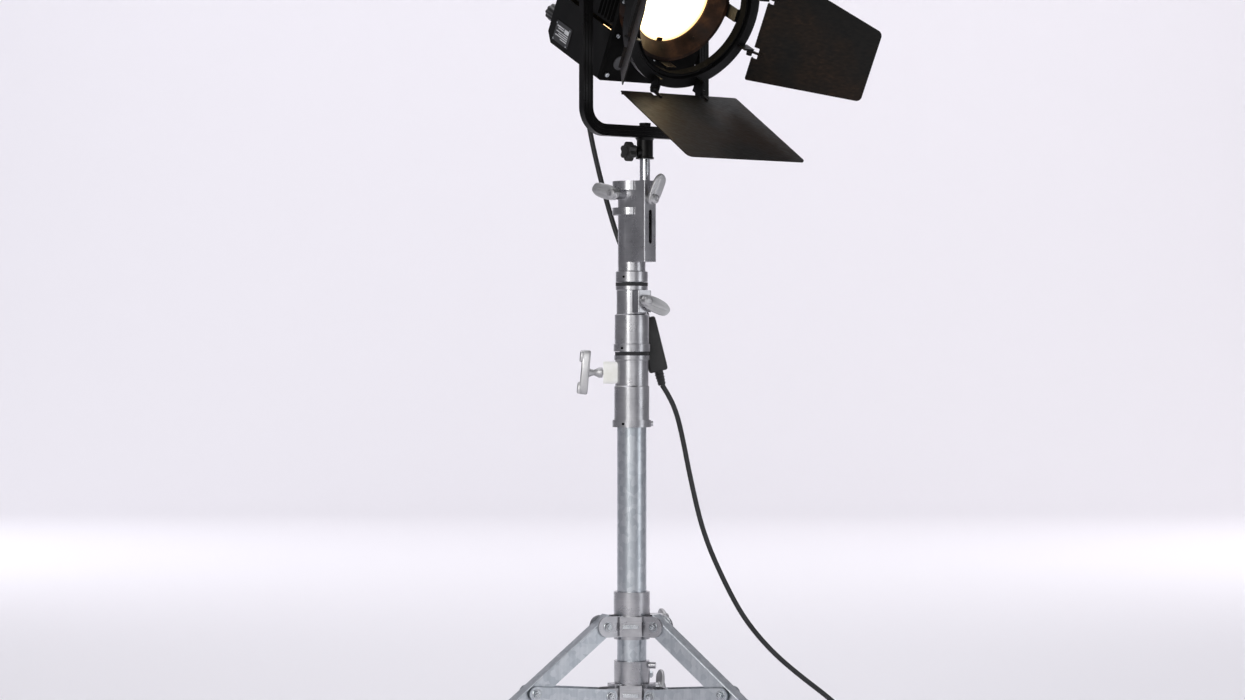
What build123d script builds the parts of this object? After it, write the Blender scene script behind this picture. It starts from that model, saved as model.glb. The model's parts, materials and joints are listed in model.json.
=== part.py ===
"""A fresnel spotlight with barndoors on a junior combo stand. Millimetres, +Z up.

The origin is on the column axis at floor level. The lamp head is modelled level and facing -Y
about its tilt axis, then panned and tilted into place.
"""

import math
import os

from build123d import *

# ---- stand ----
TUBE_R = 22.8
TUBE_BORE_R = 20.7
TUBE_BOTTOM = 213
TUBE_TOP = 735
LEG_DIRECTIONS = (87, 207, 327)
LEG_SLOPE = 38
LEG_PIVOT_R = 49
LEG_PIVOT_Z = 355
LEG_HALF = 12.5
LEG_WALL = 2
LEG_END = 554
FOOT_START = 520
FOOT_END = 578
FOOT_WALL = 2
BRACE_PIVOT_R = 46
BRACE_PIVOT_Z = 248
BRACE_ON_LEG = 156
BRACE_IN = 17
BRACE_OUT = 20
BRACE_HALF_HEIGHT = 11
EAR_IN = 13
EAR_OUT = 16.5
SCREW_R = 4
SCREW_HOLE_R = 4.05
HUB_R = 28
FIT = 0.05
WING_DIRECTION = 27
WING_HALF = 11.5
WING_LEAN = 14
UPPER_WING_Z = 363
LOWER_WING_Z = 256
KNOB_Z = 746

# ---- risers ----
RISER_1_R = 19
RISER_1_BORE_R = 17
RISER_1_BOTTOM = 240
RISER_2_R = 15.5
RISER_2_BORE_R = 13.5
RISER_2_BOTTOM = 255
COLUMN_CAST_BOTTOM = 661.7
COLUMN_CAST_TOP = 772.5
RISER_1_CAST_BOTTOM = 778.7
RISER_1_CAST_TOP = 880
COMBO_BOTTOM = 886.5
COMBO_TOP = 1042
RISER_1_TUBE_TOP = 836
RISER_2_TUBE_TOP = 930
RISER_1_WING_Z = 856
RISER_1_WING_DIRECTION = -58

# ---- combo head ----
PIN_DIRECTION = -46
PIN_OFFSET = 29
PIN_R = 7.94
RECEIVER_R = 14.3
RECEIVER_DEPTH = 90
NECK_R = 21.4
BLOCK_END = 41
BLOCK_HALF = 12.3
BLOCK_BOTTOM = 917
PIN_BOTTOM = 955
PIN_TOP = 1100
PIN_WING_Z = 1014
RECEIVER_WING_Z = 1022
SLOT_BOTTOM = 948
SLOT_TOP = 994
SLOT_R = 3.2

# ---- yoke ----
PAN = 36
TILT = 27.5
PIVOT_Z = 1350
YOKE_HALF = 111
YOKE_DROP = 233
YOKE_THICK = 18
YOKE_WIDTH = 12
YOKE_BEND_R = 34
SOCKET_BOTTOM = 1075.5
SOCKET_R = 12.6
SOCKET_STUD_R = 4
SOCKET_SCREW_Z = -264

# ---- lamp head, level and facing -Y about the tilt axis ----
BASE_HALF = 85
BASE_FRONT = -64
BASE_BACK = 92
BASE_BOTTOM = -140
BASE_TOP = -58
SHEET = 2
BODY_HALF = 78
BODY_FRONT = -64
BODY_BACK = 84
BODY_TOP = 112
LENS_RING_R = 90
LENS_RING_FRONT = -102
LENS_R = 75
DOOR_R = 118
DOOR_INNER_R = 95
DOOR_BACK = -127.3
DOOR_FRONT = -142
HINGE_Y = -157
SIDE_HINGE = 112
TOP_HINGE = 117
SIDE_LEAF_OPEN = 35
TOP_LEAF_OPEN = 20
BOTTOM_LEAF_OPEN = 5
SIDE_LEAF_LENGTH = 188
TOP_LEAF_LENGTH = 204

# ---- cord ----
CORD_R = 4
GLAND_X = -8
GLAND_Y = 66
COIL_R = 46
COIL_TURN_R = 54
COIL_HALF_WIDTH = 13
COIL_HEIGHT = 24
COIL_LEAVES_AT = 55

LOW = (Align.CENTER, Align.CENTER, Align.MIN)


def slab(x0, x1, y0, y1, z0, z1):
    return Pos((x0 + x1) / 2, (y0 + y1) / 2, (z0 + z1) / 2) * Box(
        abs(x1 - x0), abs(y1 - y0), abs(z1 - z0)
    )


def rod(radius, start, end):
    """A cylinder from one point to another."""
    span = Vector(end) - Vector(start)
    return Plane(Vector(start), z_dir=span) * Cylinder(radius, span.length, align=LOW)


def pipe(outer, inner, z0, z1):
    return rod(outer, (0, 0, z0), (0, 0, z1)) - rod(inner, (0, 0, z0 - 1), (0, 0, z1 + 1))


def turned(points):
    """A solid of revolution about Z from (radius, height) points."""
    outline = Polyline(*[(r, 0, z) for r, z in points], close=True)
    return revolve(make_face(outline), Axis.Z)


def spun(points):
    """A solid of revolution about the head's optical axis from (radius, y) points."""
    outline = Polyline(*[(r, y, 0) for r, y in points], close=True)
    return revolve(make_face(outline), Axis.Y)


def aimed(azimuth, radius=0, height=0):
    """A place on the stand whose local X points along an azimuth."""
    return Rot(0, 0, azimuth) * Pos(radius, 0, height)


def join(shapes):
    result = shapes[0]
    for shape in shapes[1:]:
        result = result + shape
    return result


def save(name, shape):
    shape.label = name
    export_step(shape, f"parts/{name}.step")


# ---------------------------------------------------------------- stand


def hex_head(across, thick):
    return extrude(RegularPolygon(across / 2, 6, major_radius=False), thick)


def wing(reach, droop, shank=12):
    """A cast lever with one broad blade along local +Y; its screw runs along -X."""
    outline = Spline(
        (-9, 0),
        (-4, 9),
        (0.35 * reach, WING_HALF),
        (0.78 * reach, WING_HALF - 2),
        (reach, 2),
        (0.88 * reach, -9),
        (0.5 * reach, -WING_HALF),
        (2, -10),
        periodic=True,
    )
    blade = extrude(Plane.YZ * make_face(outline), 6)
    blade = Pos(3, 0, 0) * Rot(droop, 0, 0) * Rot(0, 0, -WING_LEAN) * blade
    return blade + rod(9, (0.3, 0, 0), (13, 0, 0)) + rod(SCREW_R, (-shank, 0, 0), (1, 0, 0))


def base_tube():
    return pipe(TUBE_R, TUBE_BORE_R, TUBE_BOTTOM, TUBE_TOP)


def base_plug():
    return turned(
        [
            (0, TUBE_BOTTOM - 6),
            (TUBE_R, TUBE_BOTTOM - 6),
            (TUBE_R, TUBE_BOTTOM),
            (TUBE_BORE_R, TUBE_BOTTOM),
            (TUBE_BORE_R, TUBE_BOTTOM + 18),
            (0, TUBE_BOTTOM + 18),
        ]
    )


def column_casting():
    body = turned(
        [
            (TUBE_R, COLUMN_CAST_BOTTOM),
            (30, COLUMN_CAST_BOTTOM),
            (30, COLUMN_CAST_BOTTOM + 11),
            (27.2, COLUMN_CAST_BOTTOM + 11),
            (27.2, 724),
            (25.8, 726),
            (25.8, 765),
            (27.4, 766),
            (27.4, COLUMN_CAST_TOP),
            (RISER_1_R + FIT, COLUMN_CAST_TOP),
            (RISER_1_R + FIT, TUBE_TOP),
            (TUBE_R, TUBE_TOP),
        ]
    )
    set_screw = rod(4, (26, 3, 667), (33, 3, 667))
    body = body - rod(1.7, (-14, -40, 667), (-12, -20, 667))
    return body + set_screw - rod(SCREW_HOLE_R, (-40, 0, KNOB_Z), (-22, 0, KNOB_Z))


def column_bumper():
    return pipe(26, RISER_1_R + 0.4, COLUMN_CAST_TOP, COLUMN_CAST_TOP + 5.6)


def nylon_boss():
    """The pad holder on the column casting, with a flat-ended bore for the knob."""
    boss = extrude(Rectangle(34, 28), 22) - Pos(0, 0, -1) * Cylinder(SCREW_HOLE_R, 24, align=LOW)
    boss = fillet(boss.edges().filter_by(Axis.Z), 6)
    placed = Plane((-22, 0, KNOB_Z), x_dir=(0, 0, 1), z_dir=(-1, 0, 0)) * boss
    return placed - rod(25.8, (0, 0, 700), (0, 0, 790))


def column_t_knob():
    """A T-shaped cast knob on a screw along -X."""
    head = extrude(Rectangle(66, 20), 17)
    head = fillet(head.edges().filter_by(Axis.Z), 6)
    head = head - Pos(0, 0, 11) * Box(30, 30, 6, align=LOW)
    head = Plane((-66, 0, KNOB_Z), x_dir=(0.09, 0, 1), z_dir=(-1, 0, 0.09)) * head
    neck = turned([(0, 0), (8, 0), (8, 7), (4, 12), (7.5, 20), (7.5, 22), (0, 22)])
    neck = Plane((-45, 0, KNOB_Z), z_dir=(-1, 0, 0)) * neck
    return head + neck + rod(SCREW_R, (-46, 0, KNOB_Z), (-24, 0, KNOB_Z))


def ear_pair(radius, height, tip):
    """Two cheeks in local XZ planes, rounded about the pivot at their outer end."""
    cheeks = []
    for side in (1, -1):
        near = side * EAR_IN
        far = side * EAR_OUT
        cheek = slab(HUB_R - 8, radius, near, far, height - tip, height + tip)
        nose = rod(tip, (radius, near, height), (radius, far, height))
        cheeks.append(cheek + nose)
    return join(cheeks)


def raised_frame(depth, height):
    """A blank raised frame on the front of a spider's bridge plate."""
    plate = slab(depth - 7, depth, -17, 17, height - 15, height + 15)
    frame = slab(depth, depth + 2, -16, 16, height - 6.5, height + 6.5)
    well = slab(depth + 1, depth + 3, -13.5, 13.5, height - 4.5, height + 4.5)
    return plate + frame - well


def upper_spider():
    body = rod(HUB_R, (0, 0, 334), (0, 0, 407))
    for azimuth in LEG_DIRECTIONS:
        body = body + Rot(0, 0, azimuth) * ear_pair(LEG_PIVOT_R, LEG_PIVOT_Z, 16)
        body = body + Rot(0, 0, azimuth + 60) * raised_frame(33, LEG_PIVOT_Z)
        for side in (1, -1):
            bolt = Plane((LEG_PIVOT_R, side * EAR_OUT, LEG_PIVOT_Z), z_dir=(0, side, 0))
            body = body + Rot(0, 0, azimuth) * (bolt * hex_head(11, 4))
        reach = EAR_IN + 1
        shaft = rod(SCREW_R, (LEG_PIVOT_R, -reach, LEG_PIVOT_Z), (LEG_PIVOT_R, reach, LEG_PIVOT_Z))
        body = body + Rot(0, 0, azimuth) * shaft
    boss = rod(9, (30, 0, UPPER_WING_Z), (50, 0, UPPER_WING_Z))
    hole = rod(SCREW_HOLE_R, (34, 0, UPPER_WING_Z), (51, 0, UPPER_WING_Z))
    body = body + Rot(0, 0, WING_DIRECTION) * boss
    body = body - rod(TUBE_R + FIT, (0, 0, 300), (0, 0, 420))
    return body - Rot(0, 0, WING_DIRECTION) * hole


def lower_spider():
    body = rod(27.5, (0, 0, 232), (0, 0, 300))
    for azimuth in LEG_DIRECTIONS:
        star = slab(15, 35.5, -EAR_IN, EAR_IN, 258, 266)
        ears = ear_pair(BRACE_PIVOT_R, BRACE_PIVOT_Z, 12)
        body = body + Rot(0, 0, azimuth) * (star + ears)
        for side in (1, -1):
            start = (BRACE_PIVOT_R, side * (EAR_IN + 1), BRACE_PIVOT_Z)
            shaft = rod(3, start, (BRACE_PIVOT_R, side * (BRACE_OUT + 0.6), BRACE_PIVOT_Z))
            head = Plane((BRACE_PIVOT_R, side * (BRACE_OUT + 0.5), BRACE_PIVOT_Z), z_dir=(0, side, 0))
            body = body + Rot(0, 0, azimuth) * (shaft + head * hex_head(10, 4))
    for azimuth in LEG_DIRECTIONS:
        body = body + Rot(0, 0, azimuth + 60) * raised_frame(32, BRACE_PIVOT_Z + 1)
    boss = rod(8, (30, 0, LOWER_WING_Z), (44, 0, LOWER_WING_Z))
    body = body + Rot(0, 0, WING_DIRECTION) * boss
    clamp_bolt = rod(5, (20, -4, 293), (37, -6, 293))
    body = body + clamp_bolt - rod(TUBE_R, (0, 0, 200), (0, 0, 320))
    return body - Rot(0, 0, WING_DIRECTION) * rod(SCREW_HOLE_R, (32, 0, LOWER_WING_Z), (45, 0, LOWER_WING_Z))


def upper_wing():
    place = aimed(WING_DIRECTION, 50, UPPER_WING_Z)
    return place * Rot(20, 0, 0) * wing(30, -10)


def lower_wing():
    return aimed(WING_DIRECTION, 44, LOWER_WING_Z) * Rot(70, 0, 0) * wing(30, -10, 11)


def leg(azimuth):
    """An open channel from its pivot down to the foot."""
    outer = slab(-14, LEG_END, -LEG_HALF, LEG_HALF, -LEG_HALF, LEG_HALF)
    hollow_half = LEG_HALF - LEG_WALL
    hollow = slab(-20, LEG_END + 9, -hollow_half, hollow_half, -LEG_HALF - 1, hollow_half)
    channel = outer - hollow
    top_edges = channel.edges().filter_by(Axis.X).group_by(Axis.Z)[-1]
    channel = fillet(top_edges, 1.5)
    bushing = rod(6.5, (0, -hollow_half - 1, 0), (0, hollow_half + 1, 0))
    channel = channel + bushing - rod(4 + FIT, (0, -20, 0), (0, 20, 0))
    return aimed(azimuth, LEG_PIVOT_R, LEG_PIVOT_Z) * Rot(0, LEG_SLOPE, 0) * channel


def foot(azimuth):
    """A rubber boot on the leg's end, worn flat on the floor."""
    half = LEG_HALF + FOOT_WALL
    boot = slab(FOOT_START, FOOT_END, -half, half, -half, half)
    boot = fillet(boot.edges().filter_by(Axis.X), 2)
    boot = boot - slab(FOOT_START - 1, LEG_END, -LEG_HALF, LEG_HALF, -LEG_HALF, LEG_HALF)
    boot = aimed(azimuth, LEG_PIVOT_R, LEG_PIVOT_Z) * Rot(0, LEG_SLOPE, 0) * boot
    return boot - slab(-900, 900, -900, 900, -60, 0)


def brace_line():
    """Length and slope of a brace between its two pivots."""
    slope = math.radians(LEG_SLOPE)
    run = LEG_PIVOT_R + BRACE_ON_LEG * math.cos(slope) - BRACE_PIVOT_R
    rise = LEG_PIVOT_Z - BRACE_ON_LEG * math.sin(slope) - BRACE_PIVOT_Z
    return math.hypot(run, rise), math.degrees(math.atan2(rise, run))


def brace(azimuth):
    """Two flat bars beside one leg, with the outer screws."""
    length, slope = brace_line()
    bars = []
    for side in (1, -1):
        near = side * BRACE_IN
        far = side * BRACE_OUT
        bar = slab(0, length, near, far, -BRACE_HALF_HEIGHT, BRACE_HALF_HEIGHT)
        for x in (0, length):
            bar = bar + rod(BRACE_HALF_HEIGHT, (x, near, 0), (x, far, 0))
        bar = bar - rod(3 + FIT, (0, near - side, 0), (0, far + side, 0))
        head = Plane((length, far - side * 0.5, 0), z_dir=(0, side, 0)) * hex_head(10, 4.5)
        stub = rod(5, (length, side * 14, 0), (length, near + side * 0.5, 0))
        bars.append(bar + head + stub)
    return aimed(azimuth, BRACE_PIVOT_R, BRACE_PIVOT_Z) * Rot(0, -slope, 0) * Compound(bars)


def riser_1_tube():
    return pipe(RISER_1_R, RISER_1_BORE_R, RISER_1_BOTTOM, RISER_1_TUBE_TOP)


def riser_1_casting():
    body = turned(
        [
            (RISER_1_R, RISER_1_CAST_BOTTOM),
            (28.2, RISER_1_CAST_BOTTOM),
            (28.2, RISER_1_CAST_BOTTOM + 11),
            (26.6, RISER_1_CAST_BOTTOM + 12),
            (26.6, 835),
            (23.6, 837),
            (23.6, 873),
            (24.8, 874),
            (24.8, RISER_1_CAST_TOP),
            (RISER_2_R + FIT, RISER_1_CAST_TOP),
            (RISER_2_R + FIT, RISER_1_TUBE_TOP),
            (RISER_1_R, RISER_1_TUBE_TOP),
        ]
    )
    body = body - rod(1.7, (-16, -40, 784), (-14, -20, 784))
    boss = fillet(slab(12, 38, -12, 12, 839, 873).edges().filter_by(Axis.Z), 2)
    body = body + Rot(0, 0, RISER_1_WING_DIRECTION) * boss
    body = body - rod(RISER_2_R + FIT, (0, 0, RISER_1_TUBE_TOP), (0, 0, RISER_1_CAST_TOP + 10))
    hole = rod(SCREW_HOLE_R, (24, 0, RISER_1_WING_Z), (40, 0, RISER_1_WING_Z))
    return body - Rot(0, 0, RISER_1_WING_DIRECTION) * hole


def riser_1_bumper():
    return pipe(25, RISER_2_R + 0.4, RISER_1_CAST_TOP, RISER_1_CAST_TOP + 5.6)


def riser_1_wing():
    return aimed(RISER_1_WING_DIRECTION, 38, RISER_1_WING_Z) * wing(40, -25, 13)


def riser_2_tube():
    return pipe(RISER_2_R, RISER_2_BORE_R, RISER_2_BOTTOM, RISER_2_TUBE_TOP)


def combo_head():
    """Junior receiver on the column axis with a cheek block that carries the side pin."""
    neck = turned(
        [
            (RISER_2_R, COMBO_BOTTOM),
            (25, COMBO_BOTTOM),
            (25, COMBO_BOTTOM + 15.5),
            (NECK_R, COMBO_BOTTOM + 17),
            (NECK_R, COMBO_TOP),
            (RECEIVER_R, COMBO_TOP),
            (RECEIVER_R, COMBO_TOP - RECEIVER_DEPTH),
            (0, COMBO_TOP - RECEIVER_DEPTH),
            (0, RISER_2_TUBE_TOP),
            (RISER_2_R, RISER_2_TUBE_TOP),
        ]
    )
    corners = [(4.5, 20.8), (BLOCK_END, BLOCK_HALF), (BLOCK_END, -BLOCK_HALF), (4.5, -20.8)]
    outline = make_face(Polyline(*corners, close=True))
    block = extrude(Plane.XY.offset(BLOCK_BOTTOM) * outline, COMBO_TOP - BLOCK_BOTTOM)
    block = fillet(block.edges().filter_by(Axis.Z).sort_by(Axis.X)[-2:], 1.5)
    body = neck + Rot(0, 0, PIN_DIRECTION) * block
    for low, high in ((COMBO_TOP - 14, COMBO_TOP), (990, 1001)):
        rim = rod(30, (0, 0, low), (0, 0, high)) & slab(-40, 23, -40, 40, low, high)
        body = body + Rot(0, 0, PIN_DIRECTION) * rim
    clamp_boss = rod(9, (0, -20, RECEIVER_WING_Z), (0, -34, RECEIVER_WING_Z))
    body = body + Rot(0, 0, PIN_DIRECTION) * clamp_boss
    body = body - rod(RECEIVER_R, (0, 0, COMBO_TOP - RECEIVER_DEPTH), (0, 0, COMBO_TOP + 1))
    body = body - rod(RISER_2_R, (0, 0, COMBO_BOTTOM - 5), (0, 0, RISER_2_TUBE_TOP))
    body = body - rod(1.7, (-13, -40, 894), (-12, -20, 894))
    pin_hole = rod(PIN_R + FIT, (PIN_OFFSET, 0, 935), (PIN_OFFSET, 0, COMBO_TOP + 1))
    slot = slab(PIN_OFFSET, 60, -SLOT_R, SLOT_R, SLOT_BOTTOM, SLOT_TOP)
    for z in (SLOT_BOTTOM, SLOT_TOP):
        slot = slot + rod(SLOT_R, (PIN_OFFSET, 0, z), (60, 0, z))
    screw_hole = rod(SCREW_HOLE_R, (PIN_OFFSET, 0, PIN_WING_Z), (60, 0, PIN_WING_Z))
    clamp_hole = rod(SCREW_HOLE_R, (0, -13, RECEIVER_WING_Z), (0, -36, RECEIVER_WING_Z))
    return body - Rot(0, 0, PIN_DIRECTION) * (pin_hole + slot + screw_hole + clamp_hole)


def receiver_wing():
    place = Rot(0, 0, PIN_DIRECTION - 90) * Pos(34, 0, RECEIVER_WING_Z)
    return place * Rot(180, 0, 0) * wing(39, -15, 15)


def pin_wing():
    return aimed(PIN_DIRECTION, BLOCK_END, PIN_WING_Z) * Rot(90, 0, 0) * wing(41, -15, 3.5)


def combo_pin():
    """A 5/8 inch spigot with a guide screw that shows in the slot."""
    pin = rod(PIN_R, (0, 0, PIN_BOTTOM), (0, 0, PIN_TOP))
    pin = pin - rod(1.5, (0, 0, PIN_TOP - 20), (0, 0, PIN_TOP + 1))
    guide = rod(2.8, (PIN_R - 2, 0, 992), (BLOCK_END - PIN_OFFSET - 1, 0, 992))
    return aimed(PIN_DIRECTION, PIN_OFFSET, 0) * (pin + guide)


# ---------------------------------------------------------------- yoke


def pin_point():
    angle = math.radians(PIN_DIRECTION)
    return PIN_OFFSET * math.cos(angle), PIN_OFFSET * math.sin(angle)


def panned(shape):
    """From the yoke's own axes, with Z zero at the tilt axis, to its place."""
    x, y = pin_point()
    return Pos(x, y, PIVOT_Z) * Rot(0, 0, PAN) * shape


def tilted(shape):
    """From the lamp head's own axes to its place."""
    return panned(Rot(TILT, 0, 0) * shape)


def yoke():
    """One bent bar, ribbed along its outer face, round at both ends."""
    bar_bottom = -YOKE_DROP
    path = FilletPolyline(
        (-YOKE_HALF, 0, 0),
        (-YOKE_HALF, 0, bar_bottom),
        (YOKE_HALF, 0, bar_bottom),
        (YOKE_HALF, 0, 0),
        radius=YOKE_BEND_R,
    )
    section = Rectangle(YOKE_THICK, YOKE_WIDTH)
    groove = Rectangle(1.2, 1.6)
    for x in (-5.5, 0, 5.5):
        for y in (YOKE_WIDTH / 2, -YOKE_WIDTH / 2):
            section = section - Pos(x, y) * groove
    bar = sweep(Plane(path @ 0, x_dir=(1, 0, 0), z_dir=path % 0) * section, path)
    for side in (1, -1):
        nose = rod(11, (side * (YOKE_HALF - 9), 0, 0), (side * (YOKE_HALF + 9), 0, 0))
        bar = bar + nose
        bar = bar - rod(5 + FIT, (side * 90, 0, 0), (side * 130, 0, 0))
    bar = bar - rod(SOCKET_STUD_R, (0, 0, bar_bottom - 12), (0, 0, bar_bottom + 12))
    return panned(bar)


def spigot_socket():
    """The socket under the yoke that drops over the stand's pin."""
    bottom = SOCKET_BOTTOM - PIVOT_Z
    top = -YOKE_DROP - YOKE_THICK / 2
    socket = turned(
        [
            (PIN_R + FIT, bottom),
            (14, bottom),
            (14, bottom + 2.5),
            (SOCKET_R, bottom + 3.5),
            (SOCKET_R, top - 4),
            (SOCKET_R + 2.5, top),
            (SOCKET_STUD_R, top),
            (SOCKET_STUD_R, top + YOKE_THICK),
            (0, top + YOKE_THICK),
            (0, top - 4),
            (PIN_R + FIT, top - 4),
        ]
    )
    lock_boss = rod(8, (-10, 0, SOCKET_SCREW_Z), (-18, 0, SOCKET_SCREW_Z))
    cap = Pos(0, 0, top + YOKE_THICK) * hex_head(17, 5)
    socket = socket + lock_boss + cap - rod(SCREW_HOLE_R, (-6, 0, SOCKET_SCREW_Z), (-20, 0, SOCKET_SCREW_Z))
    return panned(socket - rod(PIN_R + FIT, (0, 0, bottom), (0, 0, top - 4)))


def star(radius, thick, lobes):
    """A lobed hand knob: a hub with rounded fingers."""
    knob = Cylinder(radius * 0.74, thick, align=LOW)
    for k in range(lobes):
        angle = 2 * math.pi * k / lobes
        finger = Cylinder(radius * 0.26, thick, align=LOW)
        knob = knob + Pos(radius * 0.74 * math.cos(angle), radius * 0.74 * math.sin(angle)) * finger
    return knob


def yoke_clamp_knob():
    knob = Plane((-24, 0, SOCKET_SCREW_Z), z_dir=(-1, 0, 0)) * star(15, 15, 6)
    collar = rod(6, (-18.3, 0, SOCKET_SCREW_Z), (-24, 0, SOCKET_SCREW_Z))
    screw = rod(SCREW_R, (-9, 0, SOCKET_SCREW_Z), (-19, 0, SOCKET_SCREW_Z))
    return panned(knob + collar + screw)


def tilt_lock_knob():
    washer_x = YOKE_HALF + YOKE_THICK / 2 + 0.3
    knob = Plane((washer_x + 5, 0, 0), z_dir=(1, 0, 0)) * star(24, 20, 6)
    washer = rod(12, (washer_x, 0, 0), (washer_x + 5, 0, 0))
    return panned(knob + washer - rod(5 + FIT, (washer_x - 1, 0, 0), (washer_x + 18, 0, 0)))


# ---------------------------------------------------------------- lamp head


def arch(half, bottom, top, thick, y0):
    """A round-topped plate in the XZ plane, from y0 backwards by its thickness."""
    spring = top - half
    outline = Polyline((half, spring), (half, bottom), (-half, bottom), (-half, spring))
    outline = outline + ThreePointArc((-half, spring), (0, top), (half, spring))
    face = Plane((0, y0, 0), x_dir=(1, 0, 0), z_dir=(0, -1, 0)) * make_face(outline)
    return extrude(face, -thick)


def tray(half, front, back, bottom, top, cut):
    """A block across X whose lower back edge is cut off at 45 degrees."""
    corners = [(front, bottom), (back - cut, bottom), (back, bottom + cut), (back, top), (front, top)]
    outline = make_face(Polyline(*corners, close=True))
    return extrude(Plane.YZ.offset(-half) * outline, 2 * half)


def base_box():
    """The sheet-metal tray under the lamp house, open at the top."""
    box = tray(BASE_HALF, BASE_FRONT, BASE_BACK, BASE_BOTTOM, BASE_TOP - 4, 14)
    low = BASE_BOTTOM + SHEET
    box = box - tray(BASE_HALF - SHEET, BASE_FRONT + SHEET, BASE_BACK - SHEET, low, 0, 13)
    for x in range(-48, 49, 16):
        if x != 0:
            box = box - slab(x - 2.5, x + 2.5, -40, 40, BASE_BOTTOM - 1, BASE_BOTTOM + 3)
    box = box - rod(6, (GLAND_X, GLAND_Y, BASE_BOTTOM - 1), (GLAND_X, GLAND_Y, BASE_BOTTOM + 3))
    return tilted(box - rod(4 + FIT, (-66, 80, -104), (-66, 100, -104)))


def housing():
    """The lamp house: a round-topped shell with cooling ribs down both sides and over the top."""
    depth = BODY_BACK - BODY_FRONT
    shell = arch(BODY_HALF, BASE_TOP, BODY_TOP, depth, BODY_FRONT)
    shell = shell - arch(BODY_HALF - SHEET, BASE_TOP - 1, BODY_TOP - SHEET, depth + 2, BODY_FRONT - 1)
    for y in range(-54, 80, 9):
        if abs(y) < 18:
            continue
        rib = arch(BODY_HALF + 6, BASE_TOP + 6, BODY_TOP + 6, 2, y)
        rib = rib - arch(BODY_HALF - 1, BASE_TOP - 1, BODY_TOP - 1, 4, y - 1)
        shell = shell + rib
    for side in (1, -1):
        pad = rod(15, (side * (BODY_HALF - 1), 0, 0), (side * (BODY_HALF + 4), 0, 0))
        shell = shell + pad
    return tilted(shell - rod(5, (-100, 0, 0), (100, 0, 0)))


def rear_cover():
    cover = arch(BODY_HALF, BASE_TOP, BODY_TOP, 6, BODY_BACK)
    cover = cover - arch(BODY_HALF - 8, BASE_TOP + 8, BODY_TOP - 8, 4, BODY_BACK + 2)
    for z in range(-30, 81, 14):
        cover = cover - slab(-40, 40, BODY_BACK - 1, BODY_BACK + 8, z, z + 4)
    return tilted(cover)


def front_frame():
    frame = arch(BASE_HALF, BASE_BOTTOM, BODY_TOP + 4, 8, BASE_FRONT - 8)
    frame = frame - rod(LENS_R + 1, (0, -90, 0), (0, -50, 0))
    badge = rod(13, (-58, BASE_FRONT - 7, -110), (-58, BASE_FRONT - 9, -110))
    badge = badge - rod(11.5, (-58, BASE_FRONT - 8.5, -110), (-58, BASE_FRONT - 10, -110))
    frame = frame + badge
    for x in (-76, 76):
        for z in (-130, -66, 20):
            frame = frame + rod(3.5, (x, BASE_FRONT - 7, z), (x, BASE_FRONT - 10, z))
    return tilted(frame)


def lens_ring():
    """The front barrel with its inner cone."""
    back = BASE_FRONT - 8
    ring = spun(
        [
            (LENS_RING_R, back),
            (LENS_RING_R, LENS_RING_FRONT),
            (LENS_RING_R - 5, LENS_RING_FRONT),
            (67, -80),
            (67, -77.2),
            (70, -77.2),
            (LENS_RING_R - 4.5, LENS_RING_FRONT + 4.5),
            (LENS_RING_R - 2.5, LENS_RING_FRONT + 4.5),
            (LENS_RING_R - 2.5, back),
        ]
    )
    for k in range(8):
        hole = Rot(0, 22.5 + 45 * k, 0) * rod(3, (80, -84, 0), (96, -84, 0))
        ring = ring - hole
    return tilted(ring)


def fresnel_lens():
    """A stepped lens: a flat back and rings of sloping facets."""
    steps = 8
    pitch = (LENS_R - 3) / steps
    points = [(0, -68), (LENS_R, -68), (LENS_R, -71.5), (LENS_R - 3, -71.5)]
    for k in range(steps, 0, -1):
        outer = k * pitch
        slope = 0.35 + 2.6 * k / steps
        points.append((outer, -72))
        if k > 1:
            points.append((outer - pitch + 0.2, -72 - slope))
    points.append((0, -73))
    return tilted(spun(points))


def lens_clips():
    clips = []
    for k in range(3):
        clip = slab(62, 74, -77.1, -75.3, -5, 5) + slab(72.6, 74, -77.1, -73, -5, 5)
        clips.append(Rot(0, 90 + 120 * k, 0) * clip)
    return tilted(Compound(clips))


def accessory_brackets():
    """Four folded brackets round the lens ring that carry the barndoor."""
    brackets = []
    for k in range(4):
        foot_plate = slab(85, 93, -99, -77, -12, 12)
        arm = slab(90.5, 93, -125.5, -98, -10, 10)
        face = slab(90.5, 104, -125.5, -123, -10, 10)
        web = slab(93, 97, -123, -108, -1.2, 1.2)
        bracket = foot_plate + arm + face + web - rod(LENS_RING_R, (0, -130, 0), (0, -60, 0))
        for z in (-7, 7):
            bracket = bracket + rod(2.2, (92, -88, z), (95, -88, z))
        bracket = Rot(0, 90 * k, 0) * bracket
        brackets.append(bracket)
    lugs = slab(-10, -8, -106, -98, 92, 102) + slab(8, 10, -106, -98, 92, 102)
    pivot = rod(1.5, (-10, -102, 99), (10, -102, 99))
    brackets[3] = brackets[3] + lugs + pivot
    return tilted(Compound(brackets))


def bracket_latch():
    """A spring lever on the top bracket that keeps the barndoor in."""
    lever = slab(-6, 6, -122, -102, 97.5, 99) + slab(-6, 6, -122, -120.5, 97.5, 112)
    barrel = rod(3, (-7.6, -102, 99), (7.6, -102, 99))
    return tilted(lever + barrel - rod(1.5 + FIT, (-12, -102, 99), (12, -102, 99)))


def label_plate():
    plate = slab(-BASE_HALF - 1.2, -BASE_HALF, 30, 74, -132, -100)
    for y in (33, 71):
        for z in (-129, -103):
            plate = plate + rod(1.6, (-BASE_HALF - 1, y, z), (-BASE_HALF - 2.2, y, z))
    return tilted(plate)


def focus_knob():
    knob = Plane((-66, 97, -104), z_dir=(0, 1, 0)) * star(14, 26, 8)
    return tilted(knob + rod(4, (-66, 86, -104), (-66, 99, -104)))


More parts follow.
